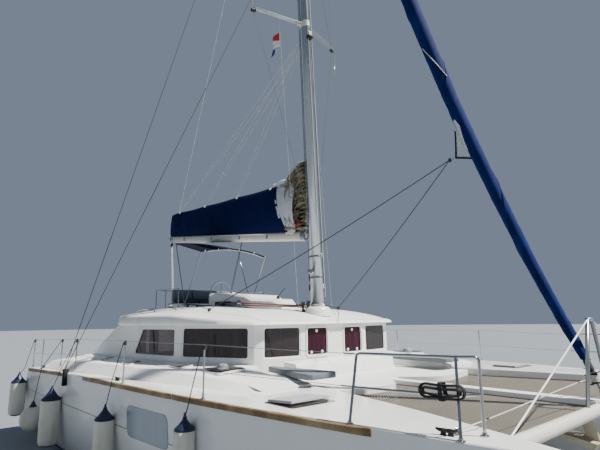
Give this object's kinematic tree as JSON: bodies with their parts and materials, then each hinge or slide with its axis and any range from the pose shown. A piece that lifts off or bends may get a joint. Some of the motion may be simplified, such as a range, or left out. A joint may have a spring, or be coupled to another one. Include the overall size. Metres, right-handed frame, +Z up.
{
  "type": "cruising sailing catamaran",
  "caption": "Twin-hulled cruising sailing yacht afloat, with a decked saloon, a flybridge helm, a stowed mainsail, a furled headsail, foredeck nets and hung fenders.",
  "frame": {"origin": "amidships on the centre plane, at the water's surface", "axes": "+X to the bows, +Y to port, +Z up"},
  "size_m": [13.61, 8.1771, 21.8],
  "materials": {
    "gelcoat_white": "glossy moulded",
    "gelcoat_grey": "non-slip",
    "strake_wood": "weathered",
    "spar": "anodised",
    "stainless": "polished",
    "canvas_navy": "woven",
    "tinted_glass": "polished",
    "net_mesh": "open mesh",
    "cushion_dark": "woven",
    "fender_vinyl": "satin",
    "bronze": "satin",
    "black_fitting": "satin",
    "galvanised": "dull",
    "rope_black": "laid",
    "rigging_wire": "satin",
    "table_wood": "varnished",
    "antifoul": "matt paint"
  },
  "bodies": {
    "boat": {"hull_port": "gelcoat_white", "hull_starboard": "gelcoat_white", "bridgedeck": "gelcoat_white", "side_deck_port": "gelcoat_white", "side_deck_starboard": "gelcoat_white", "forward_seat_port": "gelcoat_grey", "forward_seat_starboard": "gelcoat_grey", "front_locker": "gelcoat_grey", "cabin_walls": "gelcoat_white", "hatch_pane_front_port": "tinted_glass", "hatch_pane_front_starboard": "tinted_glass", "window_front_port": "tinted_glass", "window_front_starboard": "tinted_glass", "window_side_port": "tinted_glass", "window_side_starboard": "tinted_glass", "window_aft_port": "tinted_glass", "window_aft_starboard": "tinted_glass", "cabin_bulkhead": "gelcoat_white", "door_fixed_pane": "tinted_glass", "saloon_table": "table_wood", "roof": "gelcoat_white", "helm_pod": "gelcoat_white", "helm_seat": "cushion_dark", "flybridge_rail": "stainless", "bimini": "canvas_navy", "bimini_frame": "stainless", "crossbeam": "spar", "gull_striker": "spar", "net_port": "net_mesh", "net_starboard": "net_mesh", "anchor": "galvanised", "mast": "spar", "furled_headsail": "canvas_navy", "furling_drum": "black_fitting", "shrouds_port": "rigging_wire", "shrouds_starboard": "rigging_wire", "pulpit_port": "stainless", "pulpit_starboard": "stainless", "bow_rope": "rope_black", "lifelines_port": "stainless", "lifelines_starboard": "stainless", "strake_port": "strake_wood", "strake_starboard": "strake_wood", "drive_leg_port": "galvanised", "drive_leg_starboard": "galvanised", "fender_1": "fender_vinyl", "fender_2": "fender_vinyl", "fender_3": "fender_vinyl", "fender_4": "fender_vinyl", "fender_5": "fender_vinyl"},
    "boom": {"boom": "spar", "sail_bag": "canvas_navy"},
    "wheel": {"steering_wheel": "stainless"},
    "rudder_port": {"rudder_port": "antifoul"},
    "rudder_starboard": {"rudder_starboard": "antifoul"},
    "propeller_port": {"propeller_port": "bronze"},
    "propeller_starboard": {"propeller_starboard": "bronze"},
    "bow_hatch_port": {"bow_hatch_port": "gelcoat_grey"},
    "bow_hatch_starboard": {"bow_hatch_starboard": "gelcoat_grey"},
    "saloon_door": {"saloon_door": "tinted_glass"}
  },
  "joints": [
    {"name": "boom_swing", "type": "hinge", "parent": "boat", "child": "boom", "pos_m": [0.395, 0, 4.575], "axis": [-0.042, 0, 0.9991], "range_deg": [-44, 44]},
    {"name": "rudder_starboard_turn", "type": "hinge", "parent": "boat", "child": "rudder_starboard", "pos_m": [-5.35, -2.97, -0.5], "axis": [0, 0, 1], "range_deg": [-35, 35]},
    {"name": "rudder_port_turn", "type": "hinge", "parent": "boat", "child": "rudder_port", "pos_m": [-5.35, 2.97, -0.5], "axis": [0, 0, 1], "range_deg": [-35, 35]},
    {"name": "wheel_turn", "type": "hinge", "parent": "boat", "child": "wheel", "pos_m": [-3.13, 0, 3.43], "axis": [1, 0, 0], "range_deg": [-350, 350]},
    {"name": "propeller_port_spin", "type": "hinge", "parent": "boat", "child": "propeller_port", "pos_m": [-4.4, 2.97, -0.8005], "axis": [1, 0, 0], "continuous": true},
    {"name": "propeller_starboard_spin", "type": "hinge", "parent": "boat", "child": "propeller_starboard", "pos_m": [-4.4, -2.97, -0.8005], "axis": [1, 0, 0], "continuous": true},
    {"name": "bow_hatch_port_lift", "type": "hinge", "parent": "boat", "child": "bow_hatch_port", "pos_m": [3.14, 2.975, 1.772], "axis": [0, -1, 0], "range_deg": [0, 100]},
    {"name": "bow_hatch_starboard_lift", "type": "hinge", "parent": "boat", "child": "bow_hatch_starboard", "pos_m": [3.14, -2.975, 1.772], "axis": [0, -1, 0], "range_deg": [-4, 96]},
    {"name": "saloon_door_slide", "type": "slide", "parent": "boat", "child": "saloon_door", "axis": [0, 1, 0], "range_m": [0, 1.28]}
  ],
  "couplings": [
    {"joint": "rudder_port_turn", "follows": "rudder_starboard_turn", "ratio": 1},
    {"joint": "wheel_turn", "follows": "rudder_starboard_turn", "ratio": 10}
  ]
}
